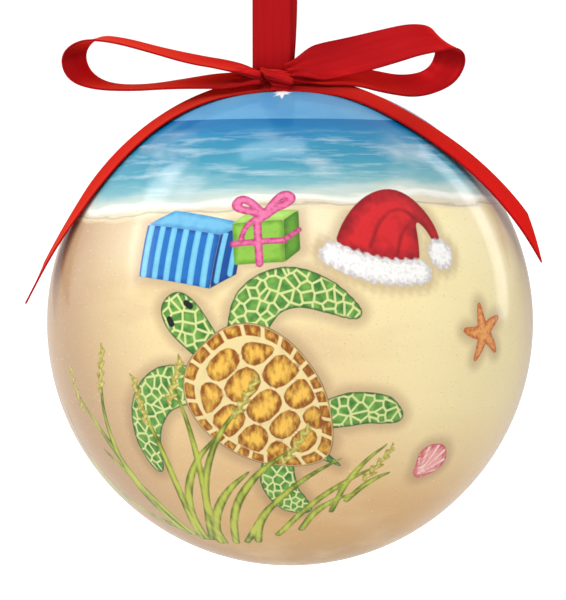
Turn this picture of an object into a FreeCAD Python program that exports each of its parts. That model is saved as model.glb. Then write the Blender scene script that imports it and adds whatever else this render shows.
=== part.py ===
"""Hanging ball ornament: a hollow paper-pulp ball covered with a printed, lacquered paper skin, hung from a satin
ribbon loop that runs under a wire staple, with a satin bow tied at the crown and its two tails lying on the ball.

Millimetres, +Z up. The origin is the inside of the top of the hanging loop, where a hook or twig holds it.
X runs along the bow, and the picture faces -Y. The ball's centre is a little to +X of the loop, because the bow
and loop sit off the crown. A ribbon bends only about its width, so each stretch of it is a flat profile of straight
runs joined by tangent arcs, given the ribbon's width.
"""
import FreeCAD, Part
import math
import os
import Sketcher
from FreeCAD import Placement, Rotation, Vector

SIZES = {
    # ball
    "ball_diameter": 76.0,
    "skin_thickness": 0.3,
    "glue_line": 0.05,
    "shell_wall": 1.6,
    "band_width": 10.0,
    "band_thickness": 1.0,
    # crown: plug, staple and where they sit
    "crown_offset": 2.6,
    "plug_diameter": 13.0,
    "plug_length": 11.0,
    "skin_hole_diameter": 10.0,
    "wire_diameter": 0.8,
    "wire_corner_radius": 0.9,
    "wire_clearance": 0.01,
    "bar_rise": 1.3,
    "staple_side_gap": 0.35,
    "staple_leg_length": 8.0,
    # ribbon
    "ribbon_width": 6.0,
    "ribbon_thickness": 0.25,
    "loop_length": 46.0,
    "root_width": 2.4,
    "flare_length": 5.0,
    "tail_cut_length": 6.5,
    # knot
    "knot_width": 5.5,
    "knot_depth": 4.4,
    "knot_height": 2.5,
    "knot_fillet": 0.9,
    "knot_tilt": 6.0,
    "knot_gap": 0.3,
    "knot_back_gap": 0.55,
    "bow_root_gap": 1.05,
    "left_bow_root_drop": 0.5,
    "right_bow_root_drop": 0.0,
    "tail_root_gap": 0.6,
    # directions of the bow's loops and tails, in degrees
    "bow_sweep": 25.0,
    "right_bow_roll": 15.0,
    "left_tail_sweep": 5.5,
    "right_tail_sweep": 8.5,
}

# Routes, as the points of straight runs that arcs join.
# The hanging loop, from its glued end in front, as (back from the staple's bar, up from it) and a share of how far
# up the point stretches with the loop's length.
LOOP_ROUTE = [
    (-1.15, 0.3, 0), (-1.2, 4.2, 0), (-1.05, 11.5, 0), (-1.4, -20.0, 1), (-2.3, -8.5, 1), (-3.0, -4.0, 1),
    (-2.6, -1.3, 1), (-1.1, 0.125, 1), (1.1, 0.125, 1), (2.6, -1.3, 1), (3.0, -4.0, 1), (2.3, -8.5, 1),
    (1.4, -20.0, 1), (1.05, 11.5, 0), (0.85, 4.2, 0), (0.78, 0.9, 0), (0.75, -0.8, 0), (-0.75, -0.8, 0),
    (-0.75, 0.5, 0), (-0.79, 1.8, 0),
]
# The bow's loops, from the knot out along the upper band and back along the lower one, as (out, up).
LEFT_BOW_ROUTE = [
    (0.0, 0.45), (3.8, 1.4), (9.4, 2.2), (16.4, 3.5), (22.9, 4.7), (28.3, 4.6), (31.6, 1.9),
    (30.5, -1.5), (26.2, -3.2), (19.4, -3.1), (12.4, -1.7), (5.6, -0.5), (0.0, -0.2),
]
RIGHT_BOW_ROUTE = [
    (0.0, 0.35), (3.4, 2.1), (8.4, 3.4), (14.4, 4.2), (20.2, 5.4), (24.6, 4.6), (26.4, 1.6),
    (24.6, -2.0), (20.2, -3.2), (14.2, -1.9), (8.2, 0.05), (3.2, 0.45), (0.0, -0.3),
]
# The tails, as (degrees round the ball from its top, lift off the ball). The first angle is where the knot is.
LEFT_TAIL_ROUTE = [(8.9, 0.55), (20.5, 0.78), (33.5, 0.78), (47.0, 0.78), (60.5, 0.8), (73.0, 1.4), (84.0, 3.4)]
RIGHT_TAIL_ROUTE = [(2.8, 0.55), (14.5, 0.78), (27.5, 0.8), (40.0, 1.1), (51.5, 2.0), (62.8, 3.3), (74.0, 4.9)]

ARC_SHARE = 0.45  # of the shorter run beside a corner, taken up by its arc on each side

doc = FreeCAD.newDocument("ornament")


def make_sheet():
    """The spreadsheet that holds the driving dimensions."""
    sheet = doc.addObject("Spreadsheet::Sheet", "sizes")
    for row, (alias, value) in enumerate(SIZES.items(), start=1):
        sheet.set(f"A{row}", alias)
        sheet.set(f"B{row}", str(value))
        sheet.setAlias(f"B{row}", alias)
    doc.recompute()
    return sheet


sizes = make_sheet()


def size(alias):
    return float(sizes.get(alias))


def bind(thing, **expressions):
    """Ties properties of a document object to expressions in the sheet's cells."""
    for name, expression in expressions.items():
        thing.setExpression(name.replace("_at_", "."), expression)


# ---------------------------------------------------------------- places that more than one piece takes

BALL_RADIUS = "sizes.ball_diameter / 2"
SHELL_RADIUS = "(sizes.ball_diameter / 2 - sizes.skin_thickness - sizes.glue_line)"
SHELL_INSIDE = "(sizes.ball_diameter / 2 - sizes.skin_thickness - sizes.glue_line - sizes.shell_wall)"
BAR_DOWN = "-(sizes.loop_length)"
BALL_X = "sizes.crown_offset"
BALL_Z = "-(sizes.loop_length + sizes.bar_rise + sizes.ball_diameter / 2)"

ball_radius = size("ball_diameter") / 2
ball_centre = Vector(size("crown_offset"), 0, -(size("loop_length") + size("bar_rise") + ball_radius))
ribbon_width = size("ribbon_width")
ribbon_thickness = size("ribbon_thickness")

# The knot stands just in front of the hanging loop's two layers, over the slope of the ball.
loop_front = LOOP_ROUTE[1][0] - ribbon_thickness / 2
knot_y = loop_front - size("knot_back_gap") - size("knot_depth") / 2
knot_slope = math.sqrt(ball_radius**2 - size("crown_offset") ** 2 - knot_y**2)
knot_z = ball_centre.z + knot_slope + size("knot_gap") + size("knot_height") / 2 + 0.1 * size("knot_depth")
knot_centre = Vector(size("crown_offset") * 0.12, knot_y, knot_z)


def place_in_ball(thing):
    """Puts a piece that is modelled round the ball's centre in its place."""
    bind(thing, Placement_at_Base_at_x=BALL_X, Placement_at_Base_at_z=BALL_Z)


# ---------------------------------------------------------------- ball: two half shells and their joining band


def sphere(name, radius, low="-90", high="90"):
    ball = doc.addObject("Part::Sphere", name)
    bind(ball, Radius=radius, Angle1=low, Angle2=high)
    return ball


def crown_drill(name, diameter):
    """A cylinder down through the crown, on the staple's line."""
    drill = doc.addObject("Part::Cylinder", name)
    bind(drill, Radius=f"{diameter} / 2", Height=BALL_RADIUS)
    bind(drill, Placement_at_Base_at_x="-(sizes.crown_offset)")
    return drill


def cut(label, base, tool, final=True):
    result = doc.addObject("Part::Cut", label)
    result.Base = base
    result.Tool = tool
    if final:
        result.Label = label
        place_in_ball(result)
    return result


def half_shell(label, low, high):
    """A moulded half ball, open at the equator."""
    outside = sphere(label + "_outside", SHELL_RADIUS, low, high)
    inside = sphere(label + "_inside", SHELL_INSIDE)
    return outside, inside


top_outside, top_inside = half_shell("top_shell", "0", "90")
top_hollow = cut("top_hollow", top_outside, top_inside, final=False)
top_shell = cut("top_shell", top_hollow, crown_drill("plug_bore", "(sizes.plug_diameter + 2 * sizes.glue_line)"))
bottom_outside, bottom_inside = half_shell("bottom_shell", "-90", "0")
bottom_shell = cut("bottom_shell", bottom_outside, bottom_inside)


def body(label):
    new = doc.addObject("PartDesign::Body", label)
    new.Label = label
    return new


def origin_plane(of_body, role):
    return next(f for f in of_body.Origin.OriginFeatures if f.Role == role)


def sketch_on(of_body, role, name):
    sketch = of_body.newObject("Sketcher::SketchObject", name)
    sketch.AttachmentSupport = (origin_plane(of_body, role), [""])
    sketch.MapMode = "FlatFace"
    return sketch


def drive(sketch, constraints):
    """Adds named constraints to a sketch, each driven by an expression: {name: (constraint, expression)}."""
    for name, (constraint, expression) in constraints.items():
        sketch.renameConstraint(sketch.addConstraint(constraint), name)
        sketch.setExpression("Constraints." + name, expression)


def joining_band():
    """The card band glued inside both halves at the equator: round outside like the shell, straight inside."""
    band = body("joining_band")
    profile = sketch_on(band, "XZ_Plane", "band_profile")
    half, outer = size("band_width") / 2, ball_radius - 3
    inner = outer - size("band_thickness")
    edge = math.sqrt(outer**2 - half**2)
    tilt = math.asin(half / outer)
    circle = Part.Circle(Vector(0, 0, 0), Vector(0, 0, 1), outer)
    arc = profile.addGeometry(Part.ArcOfCircle(circle, -tilt, tilt))
    top = profile.addGeometry(Part.LineSegment(Vector(edge, half, 0), Vector(inner, half, 0)))
    inside = profile.addGeometry(Part.LineSegment(Vector(inner, half, 0), Vector(inner, -half, 0)))
    bottom = profile.addGeometry(Part.LineSegment(Vector(inner, -half, 0), Vector(edge, -half, 0)))
    for first, its_end, second, other_end in (
        (arc, 2, top, 1), (top, 2, inside, 1), (inside, 2, bottom, 1), (bottom, 2, arc, 1),
    ):
        profile.addConstraint(Sketcher.Constraint("Coincident", first, its_end, second, other_end))
    profile.addConstraint(Sketcher.Constraint("Coincident", arc, 3, -1, 1))
    profile.addConstraint(Sketcher.Constraint("Horizontal", top))
    profile.addConstraint(Sketcher.Constraint("Horizontal", bottom))
    profile.addConstraint(Sketcher.Constraint("Symmetric", inside, 1, inside, 2, -1))
    constraints = {
        "radius": (Sketcher.Constraint("Radius", arc, outer), f"{SHELL_INSIDE} - sizes.glue_line"),
        "width": (Sketcher.Constraint("DistanceY", inside, 2, inside, 1, 2 * half), "sizes.band_width"),
        "bore": (
            Sketcher.Constraint("DistanceX", -1, 1, inside, 1, inner),
            f"sqrt(({SHELL_INSIDE} - sizes.glue_line)^2 - (sizes.band_width / 2)^2) - sizes.band_thickness",
        ),
    }
    drive(profile, constraints)
    ring = band.newObject("PartDesign::Revolution", "band_ring")
    ring.Profile = profile
    ring.ReferenceAxis = (profile, ["V_Axis"])
    ring.Angle = 360
    place_in_ball(band)
    return band


band = joining_band()

# ---------------------------------------------------------------- printed skin, in a front and a back half


def half_skin(label, turn):
    """Half of the printed paper skin, glued over the shells, with a round hole for the plug at the crown."""
    outside = sphere(label + "_outside", BALL_RADIUS)
    bind(outside, Angle3="180")
    outside.Placement = Placement(Vector(), Rotation(Vector(0, 0, 1), turn))
    inside = sphere(label + "_inside", "sizes.ball_diameter / 2 - sizes.skin_thickness")
    hollow = cut(label + "_hollow", outside, inside, final=False)
    return cut(label, hollow, crown_drill(label + "_hole", "sizes.skin_hole_diameter"))


front_skin = half_skin("front_picture", 180)
back_skin = half_skin("back_picture", 0)

# ---------------------------------------------------------------- crown plug and wire staple

STAPLE_HALF = "(sizes.ribbon_width / 2 + sizes.staple_side_gap + sizes.wire_diameter / 2)"
staple_half = ribbon_width / 2 + size("staple_side_gap") + size("wire_diameter") / 2
# The plug's top is flat, and lies under the skin's round hole, just below the ball's surface there.
plug_reach = size("crown_offset") + size("plug_diameter") / 2 + size("glue_line")
PLUG_TOP = (
    "sqrt((sizes.ball_diameter / 2 - sizes.skin_thickness - sizes.glue_line)^2"
    " - (sizes.crown_offset + sizes.plug_diameter / 2 + sizes.glue_line)^2)"
)
plug_top = math.sqrt((ball_radius - size("skin_thickness") - size("glue_line")) ** 2 - plug_reach**2)


def crown_plug():
    """The turned wooden plug glued into the crown, with a blind hole for each leg of the staple."""
    plug = body("crown_plug")
    disc = sketch_on(plug, "XY_Plane", "plug_outline")
    circle = disc.addGeometry(Part.Circle(Vector(0, 0, 0), Vector(0, 0, 1), size("plug_diameter") / 2))
    disc.addConstraint(Sketcher.Constraint("Coincident", circle, 3, -1, 1))
    across = Sketcher.Constraint("Diameter", circle, size("plug_diameter"))
    drive(disc, {"across": (across, "sizes.plug_diameter")})
    turned = plug.newObject("PartDesign::Pad", "plug_turned")
    turned.Profile = disc
    turned.Reversed = True
    turned.setExpression("Length", "sizes.plug_length")
    holes = sketch_on(plug, "XY_Plane", "leg_holes")
    hole_radius = size("wire_diameter") / 2 + size("wire_clearance")
    for number, side in enumerate((-1, 1)):
        hole = holes.addGeometry(Part.Circle(Vector(side * staple_half, 0, 0), Vector(0, 0, 1), hole_radius))
        holes.addConstraint(Sketcher.Constraint("PointOnObject", hole, 3, -1))
        ends = (hole, 3, -1, 1) if side < 0 else (-1, 1, hole, 3)
        constraints = {
            f"radius_{number}": (
                Sketcher.Constraint("Radius", hole, hole_radius),
                "sizes.wire_diameter / 2 + sizes.wire_clearance",
            ),
            f"reach_{number}": (Sketcher.Constraint("DistanceX", *ends, staple_half), STAPLE_HALF),
        }
        drive(holes, constraints)
    drilled = plug.newObject("PartDesign::Pocket", "leg_holes_drilled")
    drilled.Profile = holes
    drilled.setExpression("Length", "sizes.staple_leg_length + sizes.wire_diameter")
    bind(plug, Placement_at_Base_at_z=f"{BALL_Z} + {PLUG_TOP}")
    return plug


plug = crown_plug()


STAPLE_FOOT = f"sizes.bar_rise + {BALL_RADIUS} - {PLUG_TOP} + sizes.staple_leg_length"


def hanger_staple():
    """The wire staple: a straight bar that the ribbon turns on, and two legs pressed into the plug."""
    legs = size("bar_rise") + ball_radius - plug_top + size("staple_leg_length")
    corner = size("wire_corner_radius")
    left, right = -staple_half, staple_half
    wire = body("hanger_staple")
    path = sketch_on(wire, "XZ_Plane", "wire_path")
    left_leg = path.addGeometry(Part.LineSegment(Vector(left, -legs, 0), Vector(left, -corner, 0)))
    left_turn = Part.Circle(Vector(left + corner, -corner, 0), Vector(0, 0, 1), corner)
    left_corner = path.addGeometry(Part.ArcOfCircle(left_turn, math.pi / 2, math.pi))
    bar = path.addGeometry(Part.LineSegment(Vector(left + corner, 0, 0), Vector(right - corner, 0, 0)))
    right_turn = Part.Circle(Vector(right - corner, -corner, 0), Vector(0, 0, 1), corner)
    right_corner = path.addGeometry(Part.ArcOfCircle(right_turn, 0, math.pi / 2))
    right_leg = path.addGeometry(Part.LineSegment(Vector(right, -corner, 0), Vector(right, -legs, 0)))
    for ends in (
        (left_leg, 2, left_corner, 2), (left_corner, 1, bar, 1),
        (bar, 2, right_corner, 2), (right_corner, 1, right_leg, 1),
    ):
        path.addConstraint(Sketcher.Constraint("Tangent", *ends))
    path.addConstraint(Sketcher.Constraint("Horizontal", bar))
    path.addConstraint(Sketcher.Constraint("Vertical", left_leg))
    path.addConstraint(Sketcher.Constraint("Vertical", right_leg))
    path.addConstraint(Sketcher.Constraint("Symmetric", left_leg, 1, right_leg, 2, -2))
    path.addConstraint(Sketcher.Constraint("PointOnObject", bar, 1, -1))
    path.addConstraint(Sketcher.Constraint("Equal", left_corner, right_corner))
    constraints = {
        "corner": (Sketcher.Constraint("Radius", left_corner, corner), "sizes.wire_corner_radius"),
        "span": (Sketcher.Constraint("DistanceX", left_leg, 1, right_leg, 2, 2 * right), f"2 * {STAPLE_HALF}"),
        "legs": (Sketcher.Constraint("DistanceY", left_leg, 1, -1, 1, legs), STAPLE_FOOT),
    }
    drive(path, constraints)
    section = sketch_on(wire, "XY_Plane", "wire_section")
    section.setExpression("AttachmentOffset.Base.z", f"-({STAPLE_FOOT})")
    circle = section.addGeometry(Part.Circle(Vector(left, 0, 0), Vector(0, 0, 1), size("wire_diameter") / 2))
    section.addConstraint(Sketcher.Constraint("PointOnObject", circle, 3, -1))
    constraints = {
        "thickness": (Sketcher.Constraint("Diameter", circle, size("wire_diameter")), "sizes.wire_diameter"),
        "reach": (Sketcher.Constraint("DistanceX", circle, 3, -1, 1, right), STAPLE_HALF),
    }
    drive(section, constraints)
    doc.recompute()
    bent = wire.newObject("PartDesign::AdditivePipe", "wire_bent")
    bent.Profile = section
    bent.Spine = (path, [f"Edge{n + 1}" for n in range(5)])
    bind(wire, Placement_at_Base_at_z=BAR_DOWN)
    return wire


staple = hanger_staple()

# ---------------------------------------------------------------- ribbon


def bent_line(points):
    """The runs and arcs through a route: [(start, end, centre or None, turn)], with each arc as large as its runs
    allow. Points are 2-D vectors, and turn is the signed angle of an arc."""
    pieces = []
    start = points[0]
    for before, corner, after in zip(points, points[1:], points[2:]):
        came, goes = (corner - before), (after - corner)
        tangent = ARC_SHARE * min(came.Length, goes.Length)
        came, goes = came.normalize(), goes.normalize()
        turn = math.atan2(came.x * goes.y - came.y * goes.x, came.dot(goes))
        radius = tangent / math.tan(abs(turn) / 2)
        arc_start, arc_end = corner - came * tangent, corner + goes * tangent
        side = 1 if turn > 0 else -1
        centre = arc_start + Vector(-came.y, came.x, 0) * radius * side
        pieces.append((start, arc_start, None, 0.0))
        pieces.append((arc_start, arc_end, centre, turn))
        start = arc_end
    pieces.append((start, points[-1], None, 0.0))
    return pieces


def side_of(pieces, shift):
    """One face of the ribbon in profile: the edges of the line moved sideways by shift."""
    edges = []
    for start, end, centre, turn in pieces:
        if centre is None:
            along = (end - start).normalize()
            left = Vector(-along.y, along.x, 0) * shift
            edges.append(Part.LineSegment(start + left, end + left).toShape())
            continue
        side = 1 if turn > 0 else -1
        radius = (start - centre).Length
        scale = (radius - side * shift) / radius
        middle = ((start - centre) + (end - centre)).normalize() * radius
        corners = [centre + spoke * scale for spoke in (start - centre, middle, end - centre)]
        edges.append(Part.Arc(*corners).toShape())
    return edges


def print_bends(label, pieces):
    radii = [(start - centre).Length for start, _, centre, _ in pieces if centre is not None]
    length = sum((end - start).Length for start, end, centre, _ in pieces if centre is None)
    length += sum((start - centre).Length * abs(turn) for start, _, centre, turn in pieces if centre is not None)
    print(f"{label}: length {length:.1f}, tightest bend {min(radii):.2f}")
    return length


def ribbon_solid(label, route, outline=None):
    """A ribbon whose route lies in the XY plane, centred on it across Z. outline cuts its width, seen along +Y."""
    points = [Vector(x, y, 0) for x, y in route]
    pieces = bent_line(points)
    length = print_bends(label, pieces)
    upper = side_of(pieces, ribbon_thickness / 2)
    lower = side_of(pieces, -ribbon_thickness / 2)
    ends = [
        Part.LineSegment(a.Vertexes[i].Point, b.Vertexes[i].Point).toShape()
        for a, b, i in ((upper[0], lower[0], 0), (upper[-1], lower[-1], -1))
    ]
    face = Part.Face(Part.Wire(Part.__sortEdges__(upper + lower + ends)))
    face.translate(Vector(0, 0, -ribbon_width / 2))
    solid = face.extrude(Vector(0, 0, ribbon_width))
    wanted = length * ribbon_width * ribbon_thickness
    if abs(solid.Volume - wanted) > 0.01 * wanted:
        raise ValueError(f"{label} has a volume of {solid.Volume:.2f}, and its length asks for {wanted:.2f}")
    if outline:
        solid = solid.common(outline)
    return solid


def ribbon(label, solid, placement):
    piece = doc.addObject("Part::Feature", label)
    piece.Shape = solid
    piece.Label = label
    piece.Placement = placement
    return piece


def frame_at(origin, along, up, across):
    """The placement that takes X, Y and Z to along, up and across, at origin."""
    return Placement(origin, Rotation(along, up, across, "XYZ"))


def bow_outline(route):
    """The plan of a bow loop: narrow where the knot gathers it, and flaring out to the ribbon's full width."""
    half, root = ribbon_width / 2, size("root_width") / 2
    reach = max(x for x, _ in route) + half
    height = max(abs(y) for _, y in route) + half
    corners = [(-1, root), (0, root), (size("flare_length"), half), (reach, half)]
    corners += [(x, -z) for x, z in reversed(corners)]
    plan = [Vector(x, -height, z) for x, z in corners]
    return Part.Face(Part.makePolygon(plan + plan[:1])).extrude(Vector(0, 2 * height, 0))


def bow_loop(label, side, route, drop, roll):
    """A bow loop: side is -1 for the left one and 1 for the right, swept back and rolled about its own length."""
    sweep = math.radians(size("bow_sweep"))
    roll = math.radians(roll)
    along = Vector(side * math.cos(sweep), math.sin(sweep), 0)
    level = Vector(-side * math.sin(sweep), math.cos(sweep), 0)
    across = level * math.cos(roll) + Vector(0, 0, math.sin(roll))
    up = Vector(0, 0, math.cos(roll)) - level * math.sin(roll)
    root_x = side * (size("knot_width") / 2 + size("bow_root_gap"))
    root = knot_centre + Vector(root_x, 0, -drop)
    print(f"{label}: hinge at {root}, about {across}")
    solid = ribbon_solid(label, route, bow_outline(route))
    return ribbon(label, solid, frame_at(root, along, up, across * side * -1))


def tail(label, side, route, sweep):
    """A tail: from the knot round the ball in an upright plane that sweeps forward, and off the ball to its end."""
    sweep = math.radians(sweep)
    along = Vector(side * math.cos(sweep), -math.sin(sweep), 0)
    across = Vector(side * math.sin(sweep), math.cos(sweep), 0)
    root = knot_centre + Vector(side * (size("knot_width") / 2 + size("tail_root_gap")), 0, 0)
    from_ball = root - ball_centre
    plane_origin = ball_centre + across * from_ball.dot(across)
    points = []
    for angle, lift in route:
        reach = ball_radius + lift
        points.append((reach * math.sin(math.radians(angle)), reach * math.cos(math.radians(angle))))
    solid = ribbon_solid(label, points)
    last, before = Vector(*points[-1], 0), Vector(*points[-2], 0)
    run = (last - before).normalize()
    normal = Vector(-run.y, run.x, 0)
    half = ribbon_width / 2
    front = side
    print(f"{label}: hinge at {plane_origin + along * points[0][0] + Vector(0, 0, points[0][1])}, about {across}")
    slant = [
        last + Vector(0, 0, front * half),
        last - run * size("tail_cut_length") + Vector(0, 0, -front * half),
        last + run * half + Vector(0, 0, -front * half),
        last + run * half + Vector(0, 0, front * half),
    ]
    wedge = Part.Face(Part.makePolygon(slant + slant[:1]))
    wedge.translate(normal * -half)
    solid = solid.cut(wedge.extrude(normal * ribbon_width))
    return ribbon(label, solid, frame_at(plane_origin, along, Vector(0, 0, 1), across * side * -1))


def hanging_loop():
    """The loop that the ornament hangs by: up in front, over the hook, down behind, under the staple's bar, and
    up a little way behind its own other end, where the two are glued."""
    route = [(y, z + stretch * size("loop_length")) for y, z, stretch in LOOP_ROUTE]
    solid = ribbon_solid("hanging_loop", route)
    placement = frame_at(Vector(0, 0, -size("loop_length")), Vector(0, 1, 0), Vector(0, 0, 1), Vector(1, 0, 0))
    return ribbon("hanging_loop", solid, placement)


hanging = hanging_loop()
left_bow = bow_loop("bow_loop_left", -1, LEFT_BOW_ROUTE, size("left_bow_root_drop"), 0.0)
right_bow = bow_loop("bow_loop_right", 1, RIGHT_BOW_ROUTE, size("right_bow_root_drop"), size("right_bow_roll"))
left_tail = tail("tail_left", -1, LEFT_TAIL_ROUTE, size("left_tail_sweep"))
right_tail = tail("tail_right", 1, RIGHT_TAIL_ROUTE, size("right_tail_sweep"))


def bow_knot():
    """The knot: the ribbon's tight middle wrap, as a rounded block that leans with the ball's slope."""
    knot = body("bow_knot")
    base = sketch_on(knot, "XY_Plane", "knot_outline")
    wide, deep = size("knot_width"), size("knot_depth")
    corners = [Vector(x * wide / 2, y * deep / 2, 0) for x, y in ((-1, -1), (1, -1), (1, 1), (-1, 1))]
    for number in range(4):
        base.addGeometry(Part.LineSegment(corners[number], corners[(number + 1) % 4]))
    for number in range(4):
        base.addConstraint(Sketcher.Constraint("Coincident", number, 2, (number + 1) % 4, 1))
        base.addConstraint(Sketcher.Constraint("Horizontal" if number % 2 == 0 else "Vertical", number))
    base.addConstraint(Sketcher.Constraint("Symmetric", 0, 1, 1, 2, -1, 1))
    constraints = {
        "width": (Sketcher.Constraint("DistanceX", 0, 1, 0, 2, wide), "sizes.knot_width"),
        "depth": (Sketcher.Constraint("DistanceY", 1, 1, 1, 2, deep), "sizes.knot_depth"),
    }
    drive(base, constraints)
    block = knot.newObject("PartDesign::Pad", "knot_block")
    block.Profile = base
    block.Midplane = True
    block.setExpression("Length", "sizes.knot_height")
    doc.recompute()
    rounded = knot.newObject("PartDesign::Fillet", "knot_rounding")
    rounded.Base = (block, [f"Edge{n + 1}" for n in range(len(block.Shape.Edges))])
    rounded.setExpression("Radius", "sizes.knot_fillet")
    knot.Placement = Placement(knot_centre, Rotation(Vector(1, 0, 0), size("knot_tilt")))
    return knot


knot = bow_knot()

# ---------------------------------------------------------------- check and write

doc.recompute()
PARTS = [
    top_shell, bottom_shell, band, front_skin, back_skin, plug, staple,
    hanging, knot, left_bow, right_bow, left_tail, right_tail,
]

for thing in doc.Objects:
    bad = [state for state in thing.State if state in ("Invalid", "Error")]
    if bad:
        raise ValueError(f"{thing.Label} is {bad}")
for piece in PARTS:
    if piece.Shape.isNull() or not piece.Shape.isValid() or not piece.Shape.Solids:
        raise ValueError(f"{piece.Label} has no valid solid")

os.makedirs("parts", exist_ok=True)
for piece in PARTS:
    piece.Shape.exportStep(os.path.join("parts", piece.Label + ".step"))
    box = piece.Shape.BoundBox
    print(
        f"{piece.Label}: {len(piece.Shape.Solids)} solid, {piece.Shape.Volume:.1f} mm3,"
        f" x {box.XMin:.2f} to {box.XMax:.2f}, y {box.YMin:.2f} to {box.YMax:.2f},"
        f" z {box.ZMin:.2f} to {box.ZMax:.2f}"
    )
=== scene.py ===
import bpy
import math
import numpy as np
from mathutils import Matrix, Vector


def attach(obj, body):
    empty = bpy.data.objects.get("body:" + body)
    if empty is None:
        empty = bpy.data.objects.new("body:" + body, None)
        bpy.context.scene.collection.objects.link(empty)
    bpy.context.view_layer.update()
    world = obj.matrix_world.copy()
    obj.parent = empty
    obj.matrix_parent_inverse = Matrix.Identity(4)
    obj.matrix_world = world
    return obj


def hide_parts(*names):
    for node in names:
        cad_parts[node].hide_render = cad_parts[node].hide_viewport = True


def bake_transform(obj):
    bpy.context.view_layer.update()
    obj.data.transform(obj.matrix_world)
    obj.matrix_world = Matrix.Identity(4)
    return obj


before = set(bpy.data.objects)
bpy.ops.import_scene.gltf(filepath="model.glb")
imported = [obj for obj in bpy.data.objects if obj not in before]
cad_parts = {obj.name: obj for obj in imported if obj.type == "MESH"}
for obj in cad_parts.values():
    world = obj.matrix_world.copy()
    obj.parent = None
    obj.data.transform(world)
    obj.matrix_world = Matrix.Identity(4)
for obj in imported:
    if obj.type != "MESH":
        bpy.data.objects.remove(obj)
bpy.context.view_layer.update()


# ==== The paper halves ==================================================================
# Two half balls of grey paper pulp, pressed over a mould and dried, which carry the print.
# They are glued to the joining band inside, and show only through the hole in the crown.

def put(tree, kind, **settings):
    """One node, with its settings."""
    made = tree.nodes.new(kind)
    for key, value in settings.items():
        setattr(made, key, value)
    return made


def wire(tree, source, target):
    """Wires an output into a socket, or sets the socket where the source is a plain value."""
    if isinstance(source, bpy.types.NodeSocket):
        tree.links.new(source, target)
    else:
        target.default_value = source


def dial(node, **values):
    """Sets a node's own sockets by name, with _ for a space, and hands the node back."""
    for socket, value in values.items():
        node.inputs[socket.replace("_", " ")].default_value = value
    return node


def pigment(red, green, blue, alpha=1.0):
    """A colour as a painter's chart gives it, 0 to 255, turned into light."""
    tone = [c / 255 for c in (red, green, blue)]
    return (*[c / 12.92 if c <= 0.04045 else ((c + 0.055) / 1.055) ** 2.4 for c in tone], alpha)


def two_tone(tree, low, high, share):
    """Mixes two colours by a share. A Mix node takes its colours in at 6 and 7, and gives one at 2."""
    mix = put(tree, "ShaderNodeMix", data_type="RGBA")
    for number, value in ((6, low), (7, high), (0, share)):
        wire(tree, value, mix.inputs[number])
    return mix.outputs[2]


def between(tree, value, low, high, to_low=0.0, to_high=1.0, soft=False):
    """Stretches a value from low..high to to_low..to_high, and holds it at the ends."""
    stretch = put(tree, "ShaderNodeMapRange", clamp=True,
                  interpolation_type="SMOOTHSTEP" if soft else "LINEAR")
    for k, number in enumerate((low, high, to_low, to_high)):
        stretch.inputs[k + 1].default_value = number
    wire(tree, value, stretch.inputs[0])
    return stretch.outputs[0]


def reckon(tree, work, first, second=0.0):
    """One sum, such as ADD or ABSOLUTE, on one value or two."""
    sum_node = put(tree, "ShaderNodeMath", operation=work)
    wire(tree, first, sum_node.inputs[0])
    wire(tree, second, sum_node.inputs[1])
    return sum_node.outputs[0]


def cloud(tree, place, **values):
    """Soft noise over a place, from 0 to 1."""
    made = dial(put(tree, "ShaderNodeTexNoise"), **values)
    wire(tree, place, made.inputs["Vector"])
    return made.outputs[0]


def bare_material(name, **shader_values):
    """A new material with its Principled shader's own sockets set."""
    material = bpy.data.materials.new(name)
    material.use_nodes = True
    tree = material.node_tree
    return material, tree, dial(tree.nodes["Principled BSDF"], **shader_values)


def raise_surface(tree, shader, height, strength, distance):
    """Raises the surface a little where the height is more. The distance is in metres."""
    bump = dial(put(tree, "ShaderNodeBump"), Strength=strength, Distance=distance)
    wire(tree, height, bump.inputs["Height"])
    wire(tree, bump.outputs[0], shader.inputs["Normal"])


def cover(node_name, material):
    """Gives a part from the frame its finish."""
    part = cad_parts[node_name]
    if not part.material_slots:
        part.data.materials.append(material)
    for holder in part.material_slots:
        holder.material = material


# Fibres and flecks in paper and card: short pale fibres over a mottled ground.
fibre_group = bpy.data.node_groups.new("paper fibre", "ShaderNodeTree")
for title, way, kind in (("Place", "INPUT", "Vector"), ("Fibre Count", "INPUT", "Float"),
                         ("Ground", "INPUT", "Color"), ("Fleck", "INPUT", "Color"),
                         ("Colour", "OUTPUT", "Color"), ("Height", "OUTPUT", "Float")):
    fibre_group.interface.new_socket(name=title, in_out=way, socket_type="NodeSocket" + kind)
given = put(fibre_group, "NodeGroupInput").outputs
sent = put(fibre_group, "NodeGroupOutput").inputs
mottles_per_fibre = 0.2
mottle = cloud(fibre_group, given["Place"], Detail=6)
fibres = cloud(fibre_group, given["Place"], Detail=3, Distortion=2.2)
wire(fibre_group, given["Fibre Count"], fibres.node.inputs["Scale"])
wire(fibre_group, reckon(fibre_group, "MULTIPLY", given["Fibre Count"], mottles_per_fibre),
     mottle.node.inputs["Scale"])
tinted = two_tone(fibre_group, given["Ground"], given["Fleck"], between(fibre_group, fibres, 0.47, 0.6))
wire(fibre_group, two_tone(fibre_group, tinted, given["Ground"], between(fibre_group, mottle, 0.35, 0.7)),
     sent["Colour"])
wire(fibre_group, fibres, sent["Height"])


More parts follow.
